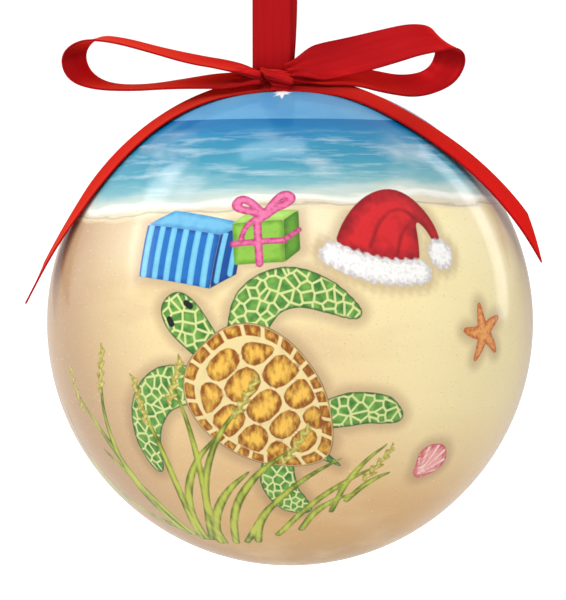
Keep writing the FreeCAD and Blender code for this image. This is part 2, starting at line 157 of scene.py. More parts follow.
def paper(name, ground, fleck, fibre_count, rough, fibre_height):
    """A paper or card finish, with so many fibres to the metre."""
    material, tree, shader = bare_material(name, Roughness=rough, Specular_IOR_Level=0.25)
    stock = put(tree, "ShaderNodeGroup", node_tree=fibre_group)
    dial(stock, Fibre_Count=fibre_count, Ground=pigment(*ground), Fleck=pigment(*fleck))
    wire(tree, put(tree, "ShaderNodeTexCoord").outputs["Object"], stock.inputs["Place"])
    wire(tree, stock.outputs["Colour"], shader.inputs["Base Color"])
    raise_surface(tree, shader, stock.outputs["Height"], 0.5, fibre_height)
    return material


paper_pulp = paper("paper pulp", ground=(186, 178, 164), fleck=(143, 134, 120),
                   fibre_count=900, rough=0.92, fibre_height=0.0002)
cover("top_shell", paper_pulp)
cover("bottom_shell", paper_pulp)


# ==== The joining band ==================================================================
# A strip of grey card bent into a ring and glued inside both halves, across their edge.
# It holds the two halves level with each other.

cover("joining_band", paper("grey card", ground=(158, 152, 143), fleck=(120, 114, 106),
                            fibre_count=1500, rough=0.85, fibre_height=0.0001))


# ==== The printed skins =================================================================
# Two half skins of thin printed paper, shrunk smooth over the halves and lacquered.
# They meet edge to edge round the ball's side, with a hole at the crown for the hanger.

mm = 0.001
ball_middle = np.array([2.6, 0.0, -85.3])
ball_radius = 38.0
skin_thickness = 0.3
seam_fall = 0.1
crown_hole_radius = 5.0
picture_lean = math.radians(11)
rings, spokes = 148, 576

# The skin's points lie on circles round its own middle, which faces forward.
from_middle = np.arange(1, rings + 1) / rings * math.pi / 2
round_middle = np.arange(spokes) / spokes * 2 * math.pi
out, turn = np.meshgrid(from_middle, round_middle, indexing="ij")
skin_points = np.stack([np.sin(out) * np.cos(turn), -np.cos(out), np.sin(out) * np.sin(turn)], -1)
skin_points = np.concatenate([[[0, -1, 0]], skin_points.reshape(-1, 3)])

picture_up = np.array([0, math.sin(picture_lean), math.cos(picture_lean)])
picture_out = np.array([0, -math.cos(picture_lean), math.sin(picture_lean)])
picture_height = skin_points @ picture_up * ball_radius
picture_side = np.arctan2(skin_points[:, 0], skin_points @ picture_out) * ball_radius
far_outside = 6.0  # mm, further than any edge of paint reads
untouched = 9.0  # mm, where nothing is drawn yet


class Spot:
    """A place in the picture, with a flat sheet of its own laid on the ball there."""

    def __init__(self, side, height, turned=0.0, reach=14.0, size=1.0):
        middle = np.array([side, 0, 0]) + height * picture_up
        middle = middle + math.sqrt(1 - side * side - height * height) * picture_out
        right = np.cross(picture_up, middle)
        right /= np.linalg.norm(right)
        up = np.cross(middle, right)
        near = np.clip(skin_points @ middle, -1, 1)
        flat = skin_points - near[:, None] * middle
        flat /= np.maximum(np.linalg.norm(flat, axis=1), 1e-9)[:, None]
        far = np.arccos(near) * ball_radius
        a, b = (flat @ right) * far, (flat @ up) * far
        c, s = math.cos(math.radians(turned)), math.sin(math.radians(turned))
        self.size = size
        self.seen = np.nonzero(far < reach)[0]
        self.sheet = np.stack([a * c + b * s, b * c - a * s], -1)[self.seen] / size
        self.shape = np.full(len(self.seen), untouched)

    def outline(self, corners, trims=2, spread=0.0):
        """A closed shape, made wider by spread. Each trim cuts its corners at a quarter of their sides."""
        line = np.array(corners, float)
        for _ in range(trims):
            after = np.roll(line, -1, axis=0)
            line = np.stack([line * 0.75 + after * 0.25, line * 0.25 + after * 0.75], 1).reshape(-1, 2)
        p = self.sheet
        gap, inside = np.full(len(p), np.inf), np.zeros(len(p), bool)
        for start, end in zip(line, np.roll(line, -1, axis=0)):
            run = end - start
            t = np.clip((p - start) @ run / (run @ run + 1e-12), 0, 1)
            gap = np.minimum(gap, np.hypot(*(p - start - t[:, None] * run).T))
            crossed = (start[1] > p[:, 1]) != (end[1] > p[:, 1])
            if crossed.any():
                reach = start[0] + (p[:, 1] - start[1]) / (end[1] - start[1] + 1e-12) * run[0]
                inside ^= crossed & (p[:, 0] < reach)
        self.shape = np.minimum(self.shape, (np.where(inside, -gap, gap) - spread) * self.size)
        return self

    def stroke(self, line, *widths):
        """A brush stroke along a line, from the first half width to the last. Adds it."""
        line = np.array(line, float)
        wide = np.interp(np.linspace(0, 1, len(line)), np.linspace(0, 1, len(widths)), widths)
        for start, end, w0, w1 in zip(line[:-1], line[1:], wide[:-1], wide[1:]):
            run = end - start
            t = np.clip((self.sheet - start) @ run / (run @ run), 0, 1)
            gap = np.hypot(*(self.sheet - start - t[:, None] * run).T) - (w0 + (w1 - w0) * t)
            self.shape = np.minimum(self.shape, gap * self.size)
        return self

    def curve(self, line, *widths):
        """A brush stroke along a line with its corners trimmed round."""
        line = np.array(line, float)
        for _ in range(2):
            cut = np.stack([line[:-1] * 0.75 + line[1:] * 0.25, line[:-1] * 0.25 + line[1:] * 0.75], 1)
            line = np.concatenate([line[:1], cut.reshape(-1, 2), line[-1:]])
        return self.stroke(line, *widths)


shapes = {}


def keep(name, spot):
    """Keeps a shape of the picture for its paint: how far each point is outside it, in mm."""
    shapes[name] = np.full(len(skin_points), far_outside)
    shapes[name][spot.seen] = np.minimum(far_outside, spot.shape)


def both_ways(points):
    """The same points on the other side of the middle."""
    return [(-a, b) for a, b in points]


# A sea turtle from above, crawling up the beach.
turtle = dict(side=-0.12, height=-0.31, turned=44, reach=31)
carapace = [(0, 12.2), (4.6, 11.7), (8.2, 8.9), (9.9, 4.4), (9.8, -0.6), (8.4, -5.6), (5.4, -10.2),
            (2.2, -13.2), (0, -14)]
shell_rim = carapace + both_ways(carapace[-2:0:-1])
keep("turtle shell", Spot(**turtle).outline(shell_rim))
limbs = Spot(**turtle)
limbs.outline([(0, 21.5), (2.4, 20.6), (3.3, 17.6), (3.0, 14.4), (2.2, 10),
               (-2.2, 10), (-3.0, 14.4), (-3.3, 17.6), (-2.4, 20.6)])
limbs.curve([(5.5, 8.6), (10.5, 11.2), (15.5, 9.4), (18.4, 4.6), (19.8, -1.5)], 2.6, 3.6, 3.2, 2.4, 0.7)
limbs.curve([(-5.5, 8.6), (-10.2, 11.6), (-15.2, 10.8), (-19.4, 7.4), (-22.2, 2.4)], 2.6, 3.5, 3.2, 2.3, 0.7)
limbs.curve([(5.2, -8.6), (8.8, -11.2), (11.4, -14.6), (12, -18)], 2.2, 2.8, 2.4, 0.7)
limbs.curve([(-5.2, -8.6), (-8.6, -11.6), (-10, -15.2), (-9.6, -18.6)], 2.2, 2.8, 2.4, 0.7)
limbs.stroke([(0, -12.5), (0.3, -16.4)], 0.9, 0.2)
keep("turtle limbs", limbs)
plates = Spot(**turtle)
for wide_at, top, middle, bottom in ((3.2, 9.5, 7.6, 5.9), (3.3, 5.6, 3.4, 1.4), (3.2, 1.0, -1.0, -3.1),
                                     (2.8, -3.5, -5.3, -7.1), (2.4, -7.5, -9.1, -10.8)):
    top_wide, bottom_wide = 0.68 * wide_at, 0.62 * wide_at
    plates.outline([(-top_wide, top), (top_wide, top), (wide_at, middle), (bottom_wide, bottom),
                    (-bottom_wide, bottom), (-wide_at, middle)], trims=1)
for side_plate in ([(3.6, 7.6), (5.3, 7.7), (7.2, 5.2), (7.6, 3.7), (3.7, 3.8), (2.6, 5.8)],
                   [(3.6, 3.2), (7.8, 3.2), (7.9, 0), (7.6, -1.2), (3.6, -0.9), (2.6, 1.2)],
                   [(3.5, -1.4), (7.5, -1.7), (6.8, -4.6), (6.0, -5.9), (3.2, -5.2), (2.4, -3.3)],
                   [(3.1, -5.7), (5.8, -6.4), (4.5, -8.8), (2.9, -9.9), (2.1, -7.4)]):
    plates.outline(side_plate, trims=1).outline(both_ways(side_plate), trims=1)
rim_plates = Spot(**turtle).outline(shell_rim, spread=-0.25)
inner_edge = Spot(**turtle).outline([(a * 0.82, b * 0.82) for a, b in shell_rim], spread=0.25)
plates_round_rim, half_seam = 24, 0.28
bearing = np.arctan2(rim_plates.sheet[:, 0], rim_plates.sheet[:, 1] + 0.8)
split = np.abs((bearing / (2 * math.pi) * plates_round_rim) % 1 - 0.5)
cut_here = half_seam - (0.5 - split) * 2 * math.pi / plates_round_rim * np.hypot(*rim_plates.sheet.T)
rim_plates.shape = np.maximum(np.maximum(rim_plates.shape, -inner_edge.shape), cut_here)
plates.shape = np.minimum(plates.shape, rim_plates.shape)
keep("turtle plates", plates)
eye = [(1.9, 18.4), (2.1, 17.6)]
keep("turtle eyes", Spot(**turtle).stroke(eye, 0.5).stroke(both_ways(eye), 0.5))

# Two wrapped parcels standing on the sand behind it.
def box_walls(name, place, **walls):
    """The walls of a parcel that show, each with sharp corners."""
    for wall, corners in walls.items():
        keep(f"{name} {wall}", Spot(**place).outline(corners, trims=0))


blue_box = dict(side=-0.4, height=0.3, turned=-4, reach=15)
box_walls("blue box", blue_box,
          front=[(-7.8, -5), (4.6, -6.2), (4.8, 2.2), (-8, 3.2)],
          side=[(4.6, -6.2), (8.4, -3.6), (8.5, 4.4), (4.8, 2.2)],
          top=[(-8, 3.2), (4.8, 2.2), (8.5, 4.4), (-3.6, 5.6)])
# Pale stripes run down the blue one's walls.
blue_bands = Spot(**blue_box)
for step in np.linspace(-7, 3.4, 6):
    blue_bands.stroke([(step, -5.6 - step * 0.1), (step - 0.1, 3)], 0.5)
for step in (5.5, 7.4):
    blue_bands.stroke([(step, -5.6 + (step - 4.6) * 0.68), (step + 0.1, 2.7 + (step - 4.8) * 0.6)], 0.4)
blue_walls = np.minimum(shapes["blue box front"], shapes["blue box side"])
blue_bands.shape = np.maximum(blue_bands.shape, blue_walls[blue_bands.seen])
keep("blue box stripes", blue_bands)
green_box = dict(side=-0.11, height=0.35, turned=5, reach=13)
box_walls("green box", green_box,
          front=[(-4.4, -4.6), (3.2, -4.8), (3.3, 1.9), (-4.4, 2)],
          side=[(3.2, -4.8), (5.6, -3), (5.6, 3.5), (3.3, 1.9)],
          top=[(-4.4, 2), (3.3, 1.9), (5.6, 3.5), (-1.8, 3.7)])
# A pink ribbon round the green one, with a bow on its top.
tie = Spot(**green_box)
tie.stroke([(-0.6, -4.7), (-0.6, 2), (1.9, 3.6)], 0.62).stroke([(3.2, -1.4), (5.6, 0.2)], 0.4)
tie.stroke([(-4.4, -1.3), (3.2, -1.4)], 0.5)
tie.curve([(0.5, 3.1), (-2.6, 6.4), (-4.3, 4.6), (0.5, 3.0)], 0.5, 0.75, 0.5)
tie.curve([(0.5, 3.1), (3.4, 6.6), (5.2, 5.2), (0.5, 3.0)], 0.5, 0.75, 0.5)
tie.curve([(0.5, 3.1), (-2.2, 1.6), (-3.2, -0.6)], 0.5, 0.4).stroke([(0.3, 3.2), (0.8, 3)], 0.8)
keep("pink tie", tie)

# A red felt hat left on the sand.
hat = dict(side=0.36, height=0.36, turned=-12, reach=17)
keep("hat felt", Spot(**hat).outline([
    (-7.4, -4.6), (-6.2, 0.6), (-3.2, 5.2), (0.8, 7.8), (4.6, 7.4), (8.6, 4.2), (10.4, 0.6),
    (9.2, 0), (7.2, 2.4), (5.4, 3.2), (6.2, 0), (6.8, -4.4)]))
fold = Spot(**hat).curve([(5.4, 3.4), (3.4, 4.6), (1.2, 3.6)], 0.35, 0.1)
fold.curve([(-1.6, -3), (-0.6, 1.2), (1.2, 3.6)], 0.3, 0.1)
fold.curve([(2.8, -3), (3.2, 0.4), (4.8, 2.6)], 0.28, 0.1)
keep("hat folds", fold)
trim = Spot(**hat).curve([(-7.4, -5), (-3, -6.2), (2, -6.3), (7, -4.9)], 1.9, 2.1, 1.9)
tuft = 0.16
fur_side, fur_up = trim.sheet.T
fur = np.sin(fur_side * 4.1) * tuft + np.sin(fur_up * 5.3 + fur_side * 2.3) * tuft
trim.stroke([(10.2, -0.9), (10.4, -1.1)], 2.3)
trim.shape = trim.shape + fur
keep("hat fur", trim)

# A starfish and a scallop shell.
star = Spot(0.77, -0.04, turned=14, reach=9, size=0.85)
arm_length = 5.2
for arm in range(5):
    a = math.radians(90 + arm * 72)
    bent = a + 0.1
    star.curve([(0, 0), (arm_length / 2 * math.cos(bent), arm_length / 2 * math.sin(bent)),
                (arm_length * math.cos(a), arm_length * math.sin(a))], 1.5, 1.1, 0.35)
keep("starfish", star)
fan = [(-0.9, -2.9), (-1.6, -1.9), (-3.4, 0.3), (-2.9, 2.3), (-1.2, 3.4), (0, 3.7)]
fan += both_ways(fan[-2::-1])
scallop = dict(side=0.55, height=-0.56, turned=-28, reach=8)
keep("scallop", Spot(**scallop).outline(fan))
ribs = Spot(**scallop)
for lean in (-50, -30, -10, 10, 30, 50):
    a = math.radians(90 - lean)
    ribs.stroke([(0, -2.4), (5.4 * math.cos(a), -2.4 + 5.6 * math.sin(a))], 0.05, 0.26)
ribs.shape = np.maximum(ribs.shape, shapes["scallop"][ribs.seen] + 0.2)
keep("scallop ribs", ribs)

# Dune grass in front, with seed heads.
dune = dict(side=-0.42, height=-0.66, turned=0, reach=34)
blades, heads = Spot(**dune), Spot(**dune)
seeds, seed_step = 9, 0.85
for foot, tip, sway, wide in (
        ((-7, -11), (-19, 14), -3, 0.55), ((-6, -12), (-11, 19), 2.5, 0.5), ((-4, -13), (-3, 15), -2.5, 0.55),
        ((-2, -13), (4, 18), -3.2, 0.5), ((-3, -13), (9, 9), 3, 0.6), ((0, -14), (15, 14), 3.5, 0.5),
        ((2, -14), (20, 4), 3.5, 0.6), ((-8, -10), (-24, 3), 3, 0.55), ((4, -14), (26, -1), 3, 0.5),
        ((-5, -12), (-15, 5), -2.2, 0.6), ((-1, -14), (12, 2), 2.2, 0.65), ((6, -14), (16, -4), 1.6, 0.6),
        ((10, -13), (30, -6), 2.4, 0.5), ((-7, -11), (-26, 9), 4, 0.4), ((14, -13), (24, -9), 1.6, 0.55),
        ((20, -11), (33, -3), 1.8, 0.45), ((23, -10), (31, -9), 1, 0.5)):
    foot, tip = np.array(foot, float), np.array(tip, float)
    aside = np.array([tip[1] - foot[1], foot[0] - tip[0]]) / np.linalg.norm(tip - foot)
    low_bend = foot * 0.6 + tip * 0.4 - aside * sway
    high_bend = foot * 0.25 + tip * 0.75 - aside * sway * 0.9
    blades.curve([foot, low_bend, high_bend, tip], wide, wide * 1.15, 0.12)
for top, lean in (((-11, 19), 0.2), ((4, 18), 0.45), ((15, 14), 0.75), ((-3, 15), -0.15), ((-19, 14), -0.35),
                  ((20, 4), 0.9), ((30, -6), 1.1)):
    along = np.array([math.sin(lean), math.cos(lean)])
    across = np.array([along[1], -along[0]])
    for k in range(seeds):
        at = np.array(top) + along * (k * seed_step - 3.2)
        way = across * (1 if k % 2 else -1)
        heads.stroke([at, at + along * 1.0 + way * (0.95 - k * 0.05)], 0.42, 0.2)
keep("grass blades", blades)
keep("grass heads", heads)

# A painted glint: a small white star of highlight in the sky.
glint = Spot(-0.03, 0.927, reach=6)
for k, reach in enumerate((2.6, 1.3, 1.5, 1.3, 2.7, 2.1, 1.5, 1.3)):
    a = math.radians(90 - k * 45 + (8 if k % 2 else 0))
    glint.stroke([(0, 0), (reach * math.cos(a), reach * math.sin(a))], 0.4, 0.04)
keep("glint", glint)
# The fall of shade round whatever stands on the sand, and where each point lies in the picture.
shapes["shade"] = np.minimum.reduce([shapes[standing] for standing in (
    "turtle shell", "turtle limbs", "blue box front", "blue box side", "green box front", "green box side",
    "hat felt", "hat fur", "starfish", "scallop")])
shapes["picture height"] = picture_height
shapes["from seam"] = -skin_points[:, 1] * ball_radius
round_height = np.arcsin(np.clip(picture_height / ball_radius, -1, 1)) * ball_radius
places = np.stack([picture_side, round_height, 0 * picture_side], -1)

# The paint: sky, sea and sand first, then each shape over the last.
picture, tree, shader = bare_material(
    "lacquered print", Roughness=0.42, IOR=1.45, Specular_IOR_Level=0.05,
    Coat_Weight=0.45, Coat_Roughness=0.13, Coat_IOR=1.5)


def shape_of(name):
    return put(tree, "ShaderNodeAttribute", attribute_name=name).outputs["Fac"]


def picture_place():
    return put(tree, "ShaderNodeAttribute", attribute_name="picture place").outputs["Vector"]


def grain(size, detail=4.0, squash=(1, 1, 1), sharp=0.5):
    """Paint grain over the picture, size in mm."""
    sheet = put(tree, "ShaderNodeVectorMath", operation="MULTIPLY")
    wire(tree, picture_place(), sheet.inputs[0])
    sheet.inputs[1].default_value = squash
    return cloud(tree, sheet.outputs[0], Scale=1 / size, Detail=detail, Roughness=sharp)


def times(first, second):
    return reckon(tree, "MULTIPLY", first, second)


def wash(under, colour, share):
    """Lays a thin colour over what is under it."""
    return two_tone(tree, under, pigment(*colour), share)


level = shape_of("picture height")
side_fall = put(tree, "ShaderNodeSeparateXYZ")
wire(tree, picture_place(), side_fall.inputs[0])
sideways = side_fall.outputs[0]
from_seam = shape_of("from seam")
shore_slope = times(between(tree, sideways, -34, 20, 1.7, -0.6), between(tree, from_seam, 0, 12))
ragged = reckon(tree, "ADD", level, between(tree, grain(3.4, 5, (0.22, 1, 1)), 0.3, 0.7, -0.8, 0.8))
beach = reckon(tree, "ADD", ragged, times(shore_slope, between(tree, level, 28, 20)))
ground = put(tree, "ShaderNodeValToRGB")
ground_stops = (
    (-38, (196, 158, 108)), (-30, (218, 176, 122)), (-18, (234, 198, 146)), (-6, (246, 220, 166)),
    (6, (252, 232, 178)), (13, (252, 236, 196)), (16.6, (249, 232, 192)), (17.6, (224, 208, 176)),
    (18.4, (226, 224, 208)), (19.8, (190, 208, 200)), (21.4, (118, 176, 186)), (23.6, (70, 152, 176)),
    (26.4, (48, 138, 172)), (28.6, (24, 126, 172)), (30.2, (0, 108, 164)))
ramp = ground.color_ramp
while len(ramp.elements) < len(ground_stops):
    ramp.elements.new(0.5)
for stop, (height, tone) in zip(ramp.elements, ground_stops):
    stop.position = (height + ball_radius) / (2 * ball_radius)
for stop, (height, tone) in zip(ramp.elements, ground_stops):
    stop.color = pigment(*tone)
wire(tree, between(tree, beach, -ball_radius, ball_radius), ground.inputs[0])
paint = ground.outputs[0]
# Foam on the water, thickest where the waves break, and a wet line where they end.
waves = grain(2.6, 7, (0.16, 1.7, 1), 0.66)
foam = times(between(tree, waves, 0.5, 0.74), between(tree, level, 29.4, 27.6, 0, 0.6))
paint = wash(paint, (214, 230, 234), times(foam, between(tree, beach, 18.6, 20.2)))
haze = times(between(tree, grain(9, 3, (0.5, 1, 1)), 0.52, 0.75, 0, 0.55), between(tree, beach, 17.8, 20))
paint = wash(paint, (226, 234, 236), times(haze, between(tree, level, 29.6, 26)))
shore_at, wet_at = 18.7, 17.5
shore = reckon(tree, "ABSOLUTE", reckon(tree, "SUBTRACT", beach, shore_at))
paint = wash(paint, (243, 243, 234), between(tree, shore, 0.7, 0.2, 0, 0.85))
wet_line = reckon(tree, "ABSOLUTE", reckon(tree, "SUBTRACT", beach, wet_at))
paint = wash(paint, (170, 168, 150), between(tree, wet_line, 0.22, 0.05, 0, 0.6))
# Sand: warm drifts, a sunny patch to the right, painted shade darker toward the ball's sides and seam, fine
# specks and sparks.
on_sand = between(tree, beach, 17.4, 16.6)
drifts = between(tree, grain(11, 3, (0.5, 1.4, 1)), 0.48, 0.66, 0, 0.55)
paint = wash(paint, (228, 196, 150), times(drifts, on_sand))
sunny = times(between(tree, sideways, 2, 26, 0, 0.75, True), between(tree, from_seam, 4, 20))
sunny = times(sunny, between(tree, level, -27, -12))
paint = wash(paint, (255, 240, 184), times(sunny, on_sand))
# Painted shade: a brown wash darkens the sand toward the ball's sides and its seam.
shade_to_left = between(tree, sideways, -16, -44, 0, 0.95, True)
shade_to_right = between(tree, sideways, 16, 44, 0, 0.95, True)
shade_to_right = times(shade_to_right, between(tree, from_seam, 17, 0, soft=True))
paint = wash(paint, (190, 154, 118), times(reckon(tree, "MAXIMUM", shade_to_left, shade_to_right), on_sand))
specks = between(tree, grain(0.42, 2, (1, 1, 1), 0.7), 0.62, 0.74, 0, 0.45)
paint = wash(paint, (168, 128, 92), times(specks, on_sand))
sparks = between(tree, grain(0.5, 2, (1, 1.1, 1), 0.7), 0.35, 0.27, 0, 0.6)
paint = wash(paint, (255, 250, 232), times(sparks, on_sand))
# Sky over the straight line of the sea.
sky = two_tone(tree, pigment(96, 160, 200), pigment(80, 150, 198),
               between(tree, grain(6, 3, (0.4, 1, 1)), 0.35, 0.65))
paint = two_tone(tree, paint, sky, between(tree, level, 30.85, 30.97))
shade_cast = times(between(tree, shape_of("shade"), 2.4, 0.0, 0, 0.42, True), on_sand)
paint = wash(paint, (150, 112, 84), shade_cast)


def lay_on(under, name, rim, body, depth, size=1.6, mottle=0.5, squash=(1, 1, 1), edge=0.07):
    """Paints a shape over what is under it: the rim colour at its edge and the body colour further in."""
    far = shape_of(name)
    deep = between(tree, far, 0.0, -depth)
    stained = reckon(tree, "ADD", deep, between(tree, grain(size, 3, squash), 0.3, 0.7, -mottle, mottle))
    tone = two_tone(tree, pigment(*rim), pigment(*body), between(tree, stained, 0.0, 1.0))
    return two_tone(tree, under, tone, between(tree, far, edge, -edge))


for lying in (("starfish", (196, 98, 44), (244, 170, 96), 0.9, 0.5),
              ("scallop", (206, 96, 104), (244, 168, 164), 1.6, 0.8),
              ("scallop ribs", (250, 214, 204), (255, 232, 222), 0.3)):
    paint = lay_on(paint, *lying)
# The turtle's limbs are green with pale lines between their scales.
scales = put(tree, "ShaderNodeTexVoronoi", feature="DISTANCE_TO_EDGE", voronoi_dimensions="2D")
dial(scales, Scale=0.62)
wire(tree, picture_place(), scales.inputs["Vector"])
scale_green = two_tone(tree, pigment(58, 122, 52), pigment(122, 176, 78),
                       between(tree, grain(1.7, 3), 0.35, 0.65))
limb_skin = two_tone(tree, pigment(220, 226, 152), scale_green, between(tree, scales.outputs[0], 0.07, 0.15))
limb_far = shape_of("turtle limbs")
limb_tone = two_tone(tree, pigment(38, 88, 44), limb_skin, between(tree, limb_far, -0.05, -0.42))
paint = two_tone(tree, paint, limb_tone, between(tree, limb_far, 0.07, -0.07))
# The rest of the turtle, then the parcels, the hat and the grass.
for standing in (("turtle eyes", (20, 26, 24), (20, 26, 24), 0.3),
                 ("turtle shell", (120, 70, 26), (244, 222, 160), 0.35, 2, 0.1),
                 ("turtle plates", (150, 82, 18), (250, 198, 84), 1.5, 0.8, 0.55, (1, 0.5, 1)),
                 ("blue box front", (22, 84, 158), (34, 112, 190), 0.8, 1.5, 0.3),
                 ("blue box side", (14, 56, 118), (20, 76, 150), 0.8, 1.5, 0.3),
                 ("blue box stripes", (104, 186, 222), (134, 208, 234), 0.5, 1.5, 0.3),
                 ("blue box top", (70, 150, 206), (118, 190, 226), 0.8, 1.5, 0.3),
                 ("green box front", (96, 150, 40), (142, 196, 72), 0.9, 1.5, 0.3),
                 ("green box side", (66, 116, 30), (98, 154, 50), 0.9, 1.5, 0.3),
                 ("green box top", (150, 200, 84), (190, 226, 120), 0.9, 1.5, 0.3),
                 ("pink tie", (176, 44, 104), (236, 120, 168), 0.5, 0.8, 0.35),
                 ("hat felt", (142, 14, 26), (216, 36, 42), 2.4, 2.2, 0.35),
                 ("hat folds", (150, 14, 26), (122, 10, 22), 0.4, 1.6, 0.5, (1, 1, 1), 0.3),
                 ("hat fur", (206, 200, 200), (254, 252, 248), 1.1, 0.6, 0.5, (1, 1, 1), 0.16),
                 ("grass blades", (92, 110, 28), (196, 204, 84), 0.5, 2.2, 0.55, (1, 0.4, 1)),
                 ("grass heads", (150, 138, 40), (232, 218, 128), 0.4, 0.7, 0.4)):
    paint = lay_on(paint, *standing)
# The painted glint, in white, over everything else.
paint = wash(paint, (255, 255, 255), between(tree, shape_of("glint"), 0.16, -0.05))
wire(tree, paint, shader.inputs["Base Color"])
ripple = cloud(tree, put(tree, "ShaderNodeTexCoord").outputs["Object"], Scale=130, Detail=2)
raise_surface(tree, shader, ripple, 0.12, 0.0001)


def lay_values(mesh, title, values):
    """Gives each point of a mesh a value that its paint or dye can read."""
    mesh.attributes.new(title, "FLOAT", "POINT").data.foreach_set("value", values.astype(np.float32))


def finished(name, mesh, material):
    """Puts a mesh in the scene as a piece with this finish."""
    mesh.materials.append(material)
    mesh.update()
    piece = bpy.data.objects.new(name, mesh)
    bpy.context.scene.collection.objects.link(piece)
    return piece


def wrap_skin(name, turned_back, stands_for):
    """Half the ball's skin, with its half of the crown hole and an edge as thick as the paper."""
    hole_side = -ball_middle[0] * (-1 if turned_back else 1)
    points = skin_points * ball_radius
    fan_faces = [(0, 1 + (k + 1) % spokes, 1 + k) for k in range(spokes)]
    ring, spoke = np.meshgrid(np.arange(rings - 1), np.arange(spokes), indexing="ij")
    here, there = 1 + ring * spokes + spoke, 1 + ring * spokes + (spoke + 1) % spokes
    quads = np.stack([here, there, there + spokes, here + spokes], -1).reshape(-1, 4)
    # Points inside the crown hole are dropped or moved to its edge.
    off_hole = points[:, :2] - [hole_side, 0]
    far = np.hypot(*off_hole.T)
    cut = (far < crown_hole_radius) & (points[:, 2] > 0)
    quads = quads[~cut[quads].all(1)]
    used = np.unique(np.concatenate([quads.ravel(), np.arange(spokes + 1)]))
    to_rim = used[cut[used]]
    points[to_rim, :2] = [hole_side, 0] + off_hole[to_rim] * (crown_hole_radius / far[to_rim])[:, None]
    points[to_rim, 2] = np.sqrt(ball_radius ** 2 - (points[to_rim, :2] ** 2).sum(1))
    points[-spokes:] *= (ball_radius - seam_fall) / ball_radius
    new_number = np.full(len(points), -1)
    new_number[used] = np.arange(len(used))
    faces = [tuple(new_number[list(f)]) for f in fan_faces] + [tuple(f) for f in new_number[quads]]
    points = points[used]
    # The paper's cut edge is a narrow wall inward from every edge that has one face.
    edges = dict.fromkeys((a, b) for face in faces for a, b in zip(face, face[1:] + face[:1]))
    rim = [(a, b) for a, b in edges if (b, a) not in edges]
    inner = {a: len(points) + k for k, a in enumerate(sorted({p for e in rim for p in e}))}
    points = np.concatenate([points, points[sorted(inner)] * (1 - skin_thickness / ball_radius)])
    faces += [(b, a, inner[a], inner[b]) for a, b in rim]
    source = np.concatenate([used, used[sorted(inner)]])
    if turned_back:
        points = points * [-1, -1, 1]
    skin = bpy.data.meshes.new(name)
    skin.from_pydata(((points + ball_middle) * mm).tolist(), [], [tuple(int(v) for v in f) for f in faces])
    for title, values in shapes.items():
        lay_values(skin, title, values[source])
    layer = skin.attributes.new("picture place", "FLOAT_VECTOR", "POINT")
    layer.data.foreach_set("vector", places[source].astype(np.float32).ravel())
    skin.polygons.foreach_set("use_smooth", [True] * (len(faces) - len(rim)) + [False] * len(rim))
    piece = finished(name, skin, picture)
    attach(piece, "ball")
    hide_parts(stands_for)


wrap_skin("front_skin", False, "front_picture")
wrap_skin("back_skin", True, "back_picture")


# ==== The crown plug ====================================================================
# A turned peg of pale wood, glued into the top half's hole.
# The hanger's legs are pushed into it.

wood, tree, shader = bare_material("pale wood", Roughness=0.62)
growth = dial(put(tree, "ShaderNodeMapping"), Location=(0.004, 0.006, 0), Scale=(1, 1, 0.08))
wire(tree, put(tree, "ShaderNodeTexCoord").outputs["Object"], growth.inputs["Vector"])
year_rings = put(tree, "ShaderNodeTexWave", wave_type="RINGS", rings_direction="Z", wave_profile="SAW")
dial(year_rings, Scale=260, Distortion=1.4, Detail=3)
wire(tree, growth.outputs[0], year_rings.inputs["Vector"])
pores = cloud(tree, growth.outputs[0], Scale=3200)
ringed = two_tone(tree, pigment(226, 196, 150), pigment(196, 154, 102), year_rings.outputs[1])
pitted = two_tone(tree, ringed, pigment(150, 110, 70), between(tree, pores, 0.6, 0.75, 0, 0.6))
wire(tree, pitted, shader.inputs["Base Color"])
raise_surface(tree, shader, pores, 0.4, 0.0001)
cover("crown_plug", wood)


# ==== The hanger staple =================================================================
# Bright steel wire bent to a low bridge, with two legs pushed down into the plug.
# The hanging ribbon runs under its bar.

steel, tree, shader = bare_material("bright wire", Metallic=1.0)
pull = dial(put(tree, "ShaderNodeMapping"), Scale=(0.15, 1, 1))
wire(tree, put(tree, "ShaderNodeTexCoord").outputs["Object"], pull.inputs["Vector"])
drawn = cloud(tree, pull.outputs[0], Scale=2600, Detail=3)
wire(tree, two_tone(tree, pigment(214, 214, 216), pigment(184, 184, 188), drawn), shader.inputs["Base Color"])
wire(tree, between(tree, drawn, 0.3, 0.7, 0.18, 0.34), shader.inputs["Roughness"])
raise_surface(tree, shader, drawn, 0.15, 0.00003)
cover("hanger_staple", steel)


# ==== The hanging loop ==================================================================
# One length of 6 mm red satin ribbon, passed under the staple's bar and up over the hook.
# Both ends go into the bow's knot, and the legs hang one behind the other.

ribbon_width = 6.0
ribbon_half_thickness = 0.125
gathered_half_width = 1.35
crown_of_face = 0.1
slant_reach = 16
pocket_at, pocket_reach = 7.5, 4.5
map_along, map_across = 0.01, 0.03

satin, tree, shader = bare_material(
    "red satin", Roughness=0.4, Metallic=0.35, Specular_IOR_Level=0.0, Specular_Tint=(1.0, 0.16, 0.1, 1),
    Anisotropic=0.55, Sheen_Weight=0.3, Sheen_Roughness=0.25, Sheen_Tint=(1.0, 0.14, 0.06, 1))
across = put(tree, "ShaderNodeAttribute", attribute_name="across").outputs["Fac"]
along = put(tree, "ShaderNodeAttribute", attribute_name="along").outputs["Fac"]
laid = put(tree, "ShaderNodeCombineXYZ")
wire(tree, along, laid.inputs[0])
wire(tree, reckon(tree, "MULTIPLY", across, ribbon_width / 2), laid.inputs[1])
threads = put(tree, "ShaderNodeTexWave", wave_type="BANDS", bands_direction="Y")
dial(threads, Scale=3.2, Distortion=0.6, Detail=2)
wire(tree, laid.outputs[0], threads.inputs["Vector"])
streak_place = put(tree, "ShaderNodeVectorMath", operation="MULTIPLY")
streak_place.inputs[1].default_value = (0.07, 1.3, 1)
wire(tree, laid.outputs[0], streak_place.inputs[0])
